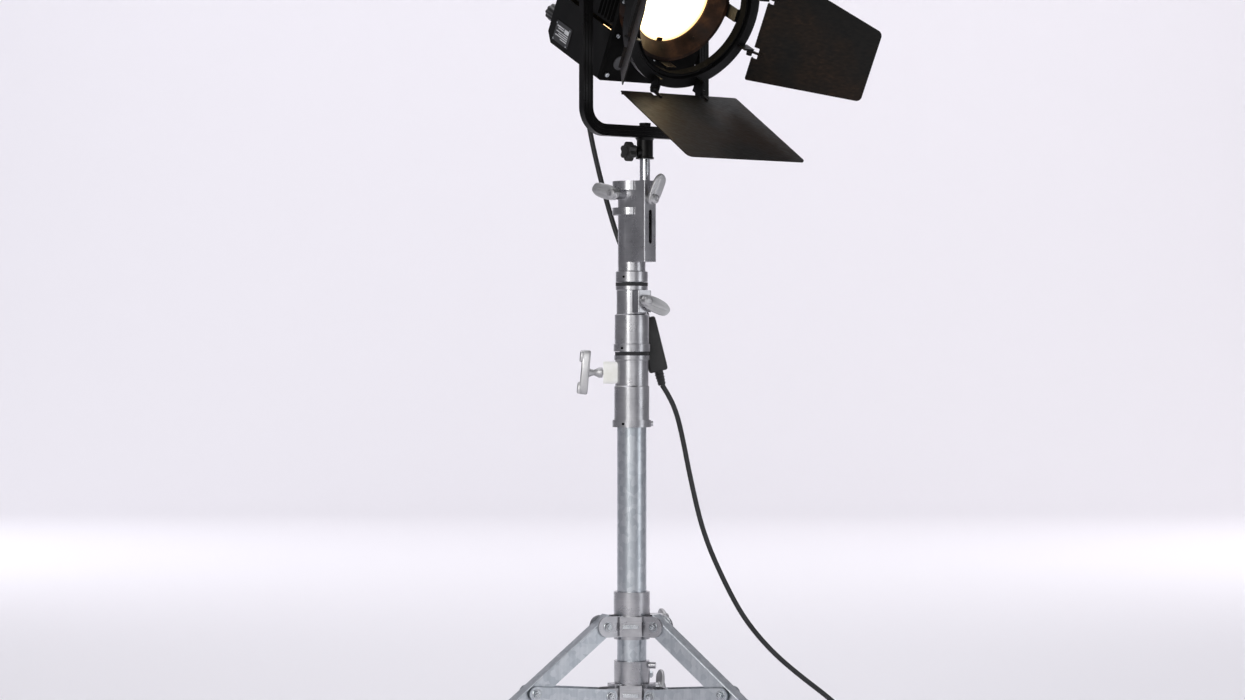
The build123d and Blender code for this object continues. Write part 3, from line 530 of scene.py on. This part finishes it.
def coil_points(end, before):
    """A neat coil of eight turns in three layers, then a short tail straight to the plug."""
    along = (end - before).normalized()
    outward = Vector((along.y, -along.x, 0)).normalized()
    centre = Vector((end.x, end.y, 0)) - outward * COIL_TURNS[0][0]
    start = math.atan2(outward.y, outward.x)
    leave = math.radians(COIL_LEAVES_AT)
    points = []
    total = len(COIL_TURNS) * math.tau + (leave - start) % math.tau - math.tau
    count = round(total / math.tau * COIL_STEPS)
    for k in range(1, count + 1):
        angle = total * k / count
        position = min(angle / math.tau, len(COIL_TURNS) - 1e-6)
        lap = int(position)
        through = position - lap
        radius, height = COIL_TURNS[lap]
        if lap + 1 < len(COIL_TURNS) and through > COIL_CLIMB_FROM:
            t = (through - COIL_CLIMB_FROM) / (1 - COIL_CLIMB_FROM)
            t = t * t * (3 - 2 * t)
            radius += (COIL_TURNS[lap + 1][0] - radius) * t
            height += (COIL_TURNS[lap + 1][1] - height) * t
        around = start + angle
        points.append(centre + Vector((radius * math.cos(around), radius * math.sin(around), height)))
    last = start + total
    out = Vector((math.cos(last), math.sin(last), 0))
    onward = Vector((-math.sin(last), math.cos(last), 0))
    corner = centre + out * COIL_TURNS[-1][0]
    for ahead in (0.008, 0.016, 0.026):
        points.append(Vector((corner.x, corner.y, 0.0195)) + onward * ahead)
    return points, Matrix.Translation(points[-1]) @ axes(Vector(), out, onward)


def cord_curve(name, points, body):
    """A round cord along the points; its radius is on the points, so that its box is true."""
    data = bpy.data.curves.new(name, "CURVE")
    data.dimensions = "3D"
    data.bevel_depth = 1
    data.bevel_resolution = 6
    data.resolution_u = 6
    data.use_fill_caps = True
    line = data.splines.new("NURBS")
    line.points.add(len(points) - 1)
    for point, place in zip(line.points, points):
        point.co = (*place, 1)
        point.radius = CORD / 2
    line.order_u = 3
    line.use_endpoint_u = True
    data.materials.append(MATERIALS["cord_pvc"])
    curve = bpy.data.objects.new(name, data)
    scene.collection.objects.link(curve)
    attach(curve, body)
    return curve


def line_length(points):
    return sum((b - a).length for a, b in zip(points, points[1:]))


def curve_length(curve):
    """The length of the curve itself, measured along its evaluated line."""
    data = curve.data
    depth = data.bevel_depth
    data.bevel_depth = 0
    data.use_fill_caps = False
    mesh = curve.to_mesh()
    length = line_length([v.co.copy() for v in mesh.vertices])
    curve.to_mesh_clear()
    data.bevel_depth = depth
    data.use_fill_caps = True
    return length


def make_leads():
    make_box_trim()
    gland = HEAD @ Vector(GLAND_FACE)
    below = HEAD @ Vector(BELOW_GLAND)
    top, bottom, axis = box_line()
    end = top - axis * CORD_IN_BOX
    route = [gland, below, *(Vector(p) for p in HEAD_ROUTE), end - axis * 0.032, end]
    head_lead = cord_curve("head_lead_curve", route, "stand")
    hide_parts("head_lead")
    curve_length(head_lead)
    start = bottom + axis * CORD_IN_BOX
    mains = [start, *(Vector(p) for p in MAINS_ROUTE)]
    coil, plug_place = coil_points(mains[-1], mains[-2])
    mains_lead = cord_curve("mains_lead_curve", mains + coil, "stand")
    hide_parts("mains_lead", "cord_coil")
    make_plug(plug_place)
    curve_length(mains_lead)


# ---------------------------------------------------------------- mesh pieces


class Shape:
    """A mesh made of several closed bodies; everything is given in metres."""

    def __init__(self):
        self.mesh = bmesh.new()

    def lathe(self, place, profile, segments=48):
        """A solid of revolution about the place's Z from (radius, height) points."""
        rows = []
        for radius, height in profile:
            if radius == 0:
                rows.append([self.mesh.verts.new(place @ Vector((0, 0, height)))])
                continue
            row = []
            for k in range(segments):
                angle = math.tau * k / segments
                at = Vector((radius * math.cos(angle), radius * math.sin(angle), height))
                row.append(self.mesh.verts.new(place @ at))
            rows.append(row)
        for low, high in zip(rows, rows[1:]):
            self.bridge(low, high)
        for row, flip in ((rows[0], True), (rows[-1], False)):
            if len(row) > 1:
                self.mesh.faces.new(row[::-1] if flip else row)
        return self

    def bridge(self, low, high):
        count = max(len(low), len(high))
        for k in range(count):
            n = (k + 1) % count
            if len(low) == 1:
                self.mesh.faces.new((low[0], high[n], high[k]))
            elif len(high) == 1:
                self.mesh.faces.new((low[k], low[n], high[0]))
            else:
                self.mesh.faces.new((low[k], low[n], high[n], high[k]))

    def plate(self, place, outline, z0, z1, round_off=0.0):
        """An outline in the place's XY plane given thickness, with eased edges."""
        middle = sum((Vector((x, y)) for x, y in outline), Vector((0, 0))) / len(outline)
        levels = [(z0, 0.0), (z1, 0.0)]
        if round_off:
            rise = [(round_off * (1 - math.cos(a)), round_off * (1 - math.sin(a))) for a in QUARTER]
            levels = [(z0 + up, inset) for up, inset in rise]
            levels += [(z1 - up, inset) for up, inset in rise[::-1]]
        rings = []
        for height, inset in levels:
            ring = []
            for x, y in outline:
                away = Vector((x, y)) - middle
                away = away * (1 - inset / max(away.length, 1e-6))
                at = middle + away
                ring.append(self.mesh.verts.new(place @ Vector((at.x, at.y, height))))
            rings.append(ring)
        for low, high in zip(rings, rings[1:]):
            self.bridge(low, high)
        self.mesh.faces.new(rings[0][::-1])
        self.mesh.faces.new(rings[-1])
        return self

    def block(self, place, low, high, round_off=0.0):
        x0, y0, z0 = low
        x1, y1, z1 = high
        outline = [(x0, y0), (x1, y0), (x1, y1), (x0, y1)]
        if round_off:
            outline = rounded_box(x0, y0, x1, y1, round_off)
        return self.plate(place, outline, z0, z1, round_off)

    def finish(self, name, body, material, slot, node=None):
        bmesh.ops.recalc_face_normals(self.mesh, faces=self.mesh.faces)
        data = bpy.data.meshes.new(name)
        self.mesh.to_mesh(data)
        self.mesh.free()
        data.materials.append(MATERIALS[material])
        made = bpy.data.objects.new(name, data)
        scene.collection.objects.link(made)
        soften(made)
        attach(made, body)
        for stood_for in [node] if isinstance(node, str) else node or []:
            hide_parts(stood_for)
        return made


QUARTER = [math.pi / 2 * k / 4 for k in range(5)]


def rounded_box(x0, y0, x1, y1, radius):
    points = []
    for cx, cy, start in (
        (x1 - radius, y1 - radius, 0),
        (x0 + radius, y1 - radius, 1),
        (x0 + radius, y0 + radius, 2),
        (x1 - radius, y0 + radius, 3),
    ):
        for k in range(5):
            angle = math.pi / 2 * (start + k / 4)
            points.append((cx + radius * math.cos(angle), cy + radius * math.sin(angle)))
    return points


def smooth_loop(points, per=6):
    """A closed Catmull-Rom loop through the points."""
    loop = []
    count = len(points)
    for k in range(count):
        a, b, c, d = (Vector(points[(k + n - 1) % count]) for n in range(4))
        for s in range(per):
            t = s / per
            square = (2 * a - 5 * b + 4 * c - d) * t * t
            cube = (3 * b - a - 3 * c + d) * t**3
            at = 0.5 * (2 * b + (c - a) * t + square + cube)
            loop.append((at.x, at.y))
    return loop


def soften(made):
    """Smooth faces with sharp edges kept where two faces meet at a clear angle."""
    with bpy.context.temp_override(object=made, selected_objects=[made], selected_editable_objects=[made]):
        bpy.ops.object.shade_smooth_by_angle(angle=math.radians(SHARP_OVER))


def turn(angle, axis):
    return Matrix.Rotation(math.radians(angle), 4, axis)


def move(x, y, z):
    return Matrix.Translation((x, y, z))


def aimed(azimuth, radius=0, height=0):
    return turn(azimuth, "Z") @ move(radius, 0, height)


def make_plug(place):
    """A round rubber earthed plug with a ribbed sleeve and two pins."""
    body = [(0.0045, -0.004), (0.006, 0)]
    for k in range(5):
        z = 0.003 + 0.006 * k
        rib = 0.0062 + 0.0003 * k
        groove = 0.0054 + 0.0003 * k
        body += [(rib, z), (rib, z + 0.003), (groove, z + 0.004), (groove, z + 0.0055)]
    body += [(0.0075, 0.034), (0.013, 0.039), (0.0172, 0.043), (0.0188, 0.049)]
    body += [(0.0188, 0.071), (0.0176, 0.0735), (0, 0.0735)]
    Shape().lathe(place, body).finish("mains_plug", "stand", "black_rubber", "black_rubber", "plug")
    pins = Shape()
    pin = [(0, 0.07), (0.0024, 0.07), (0.0024, 0.0915), (0.0012, 0.093), (0, 0.093)]
    for side in (1, -1):
        pins.lathe(place @ move(0.0095 * side, 0, 0), pin, 20)
    pins.finish("plug_pins", "stand", "plated_steel", "plated_steel")


def wing_piece(name, place, reach, droop, shank):
    """A cast lever with a domed hub and one broad blade that leans away from the stand."""
    shape = Shape()
    hub = place @ turn(90, "Y")
    profile = [(0.0042, -0.001), (0.0088, 0.0004), (0.009, 0.002), (0.0087, 0.009), (0.0076, 0.0116)]
    shape.lathe(hub, profile + [(0.0048, 0.0128), (0.004, 0.0131), (0.0036, 0.0124), (0, 0.0124)], 36)
    shank_profile = [(0, -shank), (0.0036, -shank), (0.004, -shank + 0.0005), (0.004, 0.001), (0, 0.001)]
    shape.lathe(hub, shank_profile, 24)
    outline = [
        (-0.009, 0),
        (-0.004, 0.009),
        (0.35 * reach, 0.0115),
        (0.78 * reach, 0.0095),
        (reach, 0.002),
        (0.88 * reach, -0.009),
        (0.5 * reach, -0.0115),
        (0.002, -0.010),
    ]
    blade = place @ move(0.003, 0, 0) @ turn(droop, "X") @ turn(-14, "Z")
    blade = blade @ Matrix(((0, 0, 1, 0), (1, 0, 0, 0), (0, 1, 0, 0), (0, 0, 0, 1)))
    shape.plate(blade, smooth_loop(outline), 0, 0.006, 0.0022)
    rib = [(0.002, -0.0035), (0.8 * reach, -0.002), (0.84 * reach, 0.001)]
    rib += [(0.8 * reach, 0.0035), (0.002, 0.0045)]
    shape.plate(blade, smooth_loop(rib, 3), 0.005, 0.0072, 0.001)
    shape.finish(name + "_casting", name, "wing_cast", "satin_cast", name)


# name, direction, distance and height of the hub, its turn, then the blade's reach, droop and shank
WINGS = (
    ("upper_wing", 27, 0.050, 0.363, 20, 0.030, -10, 0.012),
    ("lower_wing", 27, 0.044, 0.256, 70, 0.030, -10, 0.011),
    ("riser_1_wing", -58, 0.038, 0.856, 0, 0.040, -25, 0.013),
    ("receiver_wing", -136, 0.034, 1.022, 180, 0.039, -15, 0.015),
    ("pin_wing", -46, 0.041, 1.014, 90, 0.041, -15, 0.0035),
)


def make_wings():
    for name, azimuth, distance, height, turned, reach, droop, shank in WINGS:
        place = aimed(azimuth, distance, height) @ turn(turned, "X")
        wing_piece(name, place, reach, droop, shank)


def star_outline(radius, lobes, depth):
    points = []
    for k in range(lobes * 12):
        angle = math.tau * k / (lobes * 12)
        wave = 0.5 + 0.5 * math.cos(lobes * angle)
        at = radius * (1 - depth * (1 - wave**0.7))
        points.append((at * math.cos(angle), at * math.sin(angle)))
    return points


CLAMP_PLACE = YOKE @ move(-0.024, 0, -0.264)
LOCK_PLACE = YOKE @ move(0.1253, 0, 0)
FOCUS_PLACE = HEAD @ move(-0.066, 0.097, -0.104)
T_KNOB_HEIGHT = 0.746
T_HANDLE_START = -0.066
T_HANDLE_LEAN = 5


def make_knobs():
    clamp = CLAMP_PLACE @ turn(-90, "Y")
    shape = Shape().plate(clamp, star_outline(0.015, 6, 0.24), 0, 0.0135, 0.0022)
    shape.lathe(clamp, [(0, 0.013), (0.008, 0.013), (0.0078, 0.0146), (0, 0.015)])
    stem = [(0, -0.0155), (0.004, -0.0155), (0.004, -0.005), (0.006, -0.0045), (0.0062, 0.001), (0, 0.001)]
    shape.lathe(clamp, stem)
    shape.finish("clamp_star", "yoke_clamp", "black_plastic", "black_plastic", "yoke_clamp_knob")
    lock = LOCK_PLACE @ turn(90, "Y")
    shape = Shape().plate(lock, star_outline(0.024, 6, 0.22), 0, 0.018, 0.003)
    shape.lathe(lock, [(0, 0.0175), (0.011, 0.0175), (0.0105, 0.0196), (0, 0.02)])
    boss = [(0.0052, -0.005), (0.0118, -0.005), (0.012, -0.004), (0.012, 0.001), (0.0052, 0.001)]
    shape.lathe(lock, boss)
    shape.finish("lock_star", "tilt_lock", "black_plastic", "black_plastic", "tilt_lock_knob")
    focus = FOCUS_PLACE @ turn(-90, "X")
    shape = Shape().plate(focus, star_outline(0.014, 10, 0.1), 0.001, 0.0245, 0.0018)
    shape.lathe(focus, [(0, -0.011), (0.004, -0.011), (0.004, 0.002), (0, 0.002)])
    shape.lathe(focus, [(0, 0.0235), (0.010, 0.0235), (0.0096, 0.0256), (0, 0.026)])
    shape.finish("focus_grip", "focus_knob", "black_plastic", "black_plastic", "focus_knob")


def make_t_knob():
    """The cast T handle with a waisted neck on the nylon boss."""
    out = move(0, 0, T_KNOB_HEIGHT) @ turn(-90, "Y")
    shape = Shape()
    neck = [(0, 0.024), (0.004, 0.024), (0.004, 0.045), (0.0078, 0.0455), (0.008, 0.051)]
    neck += [(0.0062, 0.055), (0.0045, 0.0585), (0.0052, 0.062), (0.0072, 0.066), (0.0074, 0.069), (0, 0.069)]
    shape.lathe(out, neck, 40)
    half = [(-0.033, 0.006), (-0.024, 0.0085), (-0.012, 0.0095), (0, 0.010)]
    half += [(-x, y) for x, y in half[2::-1]]
    bar = [(x, -y) for x, y in half] + [(0.0345, 0)] + half[::-1] + [(-0.0345, 0)]
    tilt = move(T_HANDLE_START, 0, T_KNOB_HEIGHT) @ turn(T_HANDLE_LEAN - 90, "Y")
    shape.plate(tilt, smooth_loop(bar, 3), 0.0, 0.013, 0.003)
    lobe = [(-0.008, -0.008), (0.006, -0.0075), (0.009, 0), (0.006, 0.0075), (-0.008, 0.008), (-0.009, 0)]
    for side in (1, -1):
        shape.plate(tilt @ move(0.0245 * side, 0, 0), smooth_loop(lobe, 4), 0.009, 0.0166, 0.0028)
    shape.finish("t_handle", "column_knob", "wing_cast", "satin_cast", "column_t_knob")


def screw_head(shape, place, radius=0.004, height=0.0024):
    """A domed screw head with a recess in the middle."""
    dome = [(0, -0.001), (radius, -0.001), (radius, height * 0.35)]
    dome += [(radius * 0.86, height * 0.8), (radius * 0.55, height)]
    socket = [(radius * 0.5, height * 0.98), (radius * 0.42, height * 0.4), (0, height * 0.4)]
    shape.lathe(place, dome + socket, 24)


def pivot_screw(shape, place):
    """A washer below a pivot's hexagon and a domed socket screw above it."""
    washer = [(0, -0.0002), (0.0077, -0.0002), (0.0077, 0.0006), (0.0072, 0.001), (0, 0.001)]
    shape.lathe(place, washer, 32)
    screw_head(shape, place @ move(0, 0, 0.004), 0.0046, 0.0022)


def make_spider_trim():
    """Washers and socket screws on the spiders' and braces' pivots, and a bar on each bridge plate."""
    upper = Shape()
    lower = Shape()
    for azimuth in LEG_DIRECTIONS:
        for shape, depth, height in ((upper, 0.033, LEG_PIVOT_HEIGHT), (lower, 0.032, 0.249)):
            face = aimed(azimuth + 60, depth, height)
            shape.block(face, (0.0002, -0.0125, -0.0028), (0.0030, 0.0125, 0.0028), 0.0006)
        for side in (1, -1):
            outward = turn(-90 * side, "X")
            leg_pivot = aimed(azimuth, LEG_PIVOT_RADIUS, LEG_PIVOT_HEIGHT)
            brace_pivot = aimed(azimuth, BRACE_PIVOT_RADIUS, BRACE_PIVOT_HEIGHT)
            pivot_screw(upper, leg_pivot @ move(0, 0.0165 * side, 0) @ outward)
            pivot_screw(lower, brace_pivot @ move(0, 0.0205 * side, 0) @ outward)
    upper.finish("upper_spider_screws", "spider", "plated_steel", "plated_steel")
    lower.finish("lower_spider_screws", "stand", "plated_steel", "plated_steel")
    for k, azimuth in enumerate(LEG_DIRECTIONS, 1):
        screws = Shape()
        brace = aimed(azimuth, BRACE_PIVOT_RADIUS, BRACE_PIVOT_HEIGHT) @ turn(-BRACE_SLOPE, "Y")
        for side in (1, -1):
            far_end = brace @ move(BRACE_LENGTH, 0.0202 * side, 0)
            pivot_screw(screws, far_end @ turn(-90 * side, "X"))
        screws.finish(f"brace_{k}_screws", f"brace_{k}", "plated_steel", "plated_steel")


LABEL_X = -0.0862
LABEL_RIVETS_Y = (0.033, 0.071)
LABEL_RIVETS_Z = (-0.129, -0.103)

# front, back, bottom and top of each printed bar, in the lamp head's frame
LABEL_BARS = (
    (0.0355, 0.0480, -0.1125, -0.1060),
    (0.0500, 0.0700, -0.1080, -0.1062),
    (0.0500, 0.0660, -0.1112, -0.1096),
    (0.0355, 0.0690, -0.1160, -0.1146),
    (0.0355, 0.0620, -0.1192, -0.1178),
    (0.0355, 0.0700, -0.1224, -0.1210),
    (0.0355, 0.0540, -0.1256, -0.1242),
)


def make_label():
    """Printed blocks and bars on the rating plate, and its four rivets."""
    face = HEAD @ Matrix(((0, 0, -1, LABEL_X), (1, 0, 0, 0), (0, 1, 0, 0), (0, 0, 0, 1)))
    bars = Shape()
    for y0, y1, z0, z1 in LABEL_BARS:
        bars.block(face, (y0, z0, -0.0001), (y1, z1, 0.00022))
    bars.finish("label_bars", "head", "label_ink", "label_print")
    rivets = Shape()
    rivet = [(0, 0), (0.0018, 0), (0.0017, 0.0008), (0.001, 0.0012), (0, 0.0013)]
    for y in LABEL_RIVETS_Y:
        for z in LABEL_RIVETS_Z:
            rivets.lathe(face @ move(y, z, 0.0008), rivet, 20)
    rivets.finish("label_rivets", "head", "plated_steel", "plated_steel")


FRAME_SCREWS_X = (-0.076, 0.076)
FRAME_SCREWS_Z = (-0.130, -0.066, 0.020)
FRAME_FRONT = -0.0738
BADGE_PLACE = HEAD @ move(-0.058, -0.0722, -0.110)
RING_SCREW_PLACE = (0.0948, -0.088)
RING_RIVET_PLACE = move(0.0758, -0.0888, 0)
RING_RIVETS = 8


def make_front_trim():
    """Screws, an unmarked badge and rivets on the lamp head's front."""
    shape = Shape()
    for x in FRAME_SCREWS_X:
        for z in FRAME_SCREWS_Z:
            place = HEAD @ move(x, FRAME_FRONT, z) @ turn(90, "X")
            screw_head(shape, place, 0.0038, 0.002)
    for k in range(4):
        quarter = HEAD @ turn(90 * k, "Y")
        for z in (-0.007, 0.007):
            screw_head(shape, quarter @ move(*RING_SCREW_PLACE, z) @ turn(90, "Y"), 0.0024, 0.0014)
    shape.finish("front_screws", "head", "plated_steel", "plated_steel")
    badge = Shape()
    place = BADGE_PLACE @ turn(90, "X")
    rim = [(0, 0), (0.0112, 0), (0.0112, 0.0012), (0.0104, 0.0016), (0.0092, 0.0012), (0, 0.0014)]
    badge.lathe(place, rim, 48)
    badge.finish("badge_disc", "head", "label_print", "label_print")
    clips = Shape()
    for k in range(RING_RIVETS):
        at = HEAD @ turn(360 / RING_RIVETS * k, "Y") @ RING_RIVET_PLACE @ turn(52, "Z") @ turn(-90, "Y")
        screw_head(clips, at, 0.0022, 0.0016)
    clips.finish("ring_rivets", "head", "heat_brown", "heat_brown")


def make_vent_glow():
    """Lamp light seen in the gap between the tray and the lamp house."""
    shape = Shape()
    for side in (1, -1):
        low, high = sorted((0.0795 * side, 0.0825 * side))
        shape.block(HEAD, (low, -0.060, -0.0635), (high, -0.036, -0.0625))
    shape.finish("vent_glow", "head", "vent_light", "lamp_glow")


# name, body, x, radius of the collar, height
SET_SCREWS = (
    ("column_set_screw", "stand", -0.014, 0.030, 0.667),
    ("riser_set_screw", "riser_1", -0.0155, 0.0282, 0.784),
    ("combo_set_screw", "riser_2", -0.0128, 0.025, 0.894),
)


def make_set_screws():
    """Recessed set screws in the collars' small front holes, painted near black without shine: painted shade in
    the holes.
    """
    for name, body, x, radius, height in SET_SCREWS:
        shape = Shape()
        y = -math.sqrt(radius**2 - x**2)
        place = move(x, y, height) @ turn(math.degrees(math.atan2(y, x)), "Z") @ turn(90, "Y")
        screw = [(0, -0.001), (0.0019, -0.001), (0.0019, 0.0001), (0.001, 0.00015), (0, 0.0001)]
        shape.lathe(place, screw, 20)
        shape.finish(name, body, "hole_shade_black", "dark_steel")


def make_box_trim():
    """Ribs on the sleeves and a seam round the in-line box."""
    top, bottom, axis = box_line()
    shape = Shape()
    place = axes(top, Vector((1, 0, 0.25)), axis)
    length = (bottom - top).length
    for k in range(4):
        far = 0.004 + 0.0045 * k
        radius = 0.0069 - 0.0003 * k
        for z in (-far - 0.0022, length + far):
            middle = (radius + 0.0006, z + 0.0011)
            rib = [(0, z), (radius, z), middle, (radius, z + 0.0022), (0, z + 0.0022)]
            shape.lathe(place, rib, 28)
    shape.block(place, (-0.0153, -0.0004, 0.006), (0.0153, 0.0004, length - 0.006))
    shape.finish("box_trim", "stand", "black_plastic", "black_plastic")


GLAND_NUT_PLACE = HEAD @ move(-0.008, 0.066, -0.150)


def make_gland_nut():
    shape = Shape()
    radius = 0.0115
    corners = [math.pi / 3 * k for k in range(6)]
    hexagon = [(radius * math.cos(angle), radius * math.sin(angle)) for angle in corners]
    shape.plate(GLAND_NUT_PLACE, hexagon, 0.002, 0.0098, 0.0008)
    shape.finish("gland_nut", "head", "black_plastic", "black_plastic")


LAMP_COLOUR = (1, 0.82, 0.58)
LAMP_POWER = 4
BEAM_COLOUR = (1, 0.86, 0.66)
BEAM_POWER = 0.5
BEAM_SPREAD = 110
BEAM_START = (0, -0.079, 0)


def make_lamp_light():
    """The lamp's own light, which escapes through the lens, the vents and the tray's open top."""
    data = bpy.data.lights.new("lamp_light", "POINT")
    data.energy = LAMP_POWER
    data.color = LAMP_COLOUR
    data.shadow_soft_size = 0.012
    light = bpy.data.objects.new("lamp_light", data)
    light.location = HEAD @ Vector((0, 0.01, 0.01))
    scene.collection.objects.link(light)
    beam = bpy.data.lights.new("beam_light", "SPOT")
    beam.energy = BEAM_POWER
    beam.color = BEAM_COLOUR
    beam.spot_size = math.radians(BEAM_SPREAD)
    beam.spot_blend = 1
    beam.shadow_soft_size = 0.06
    spot = bpy.data.objects.new("beam_light", beam)
    spot.location = HEAD @ Vector(BEAM_START)
    spot.rotation_euler = BEAM.to_track_quat("-Z", "Y").to_euler()
    scene.collection.objects.link(spot)


make_camera()
make_leads()
make_lights()
make_floor()
finish_cad_nodes()
make_wings()
make_knobs()
make_t_knob()
make_spider_trim()
make_label()
make_front_trim()
make_gland_nut()
make_set_screws()
make_vent_glow()
make_lamp_light()
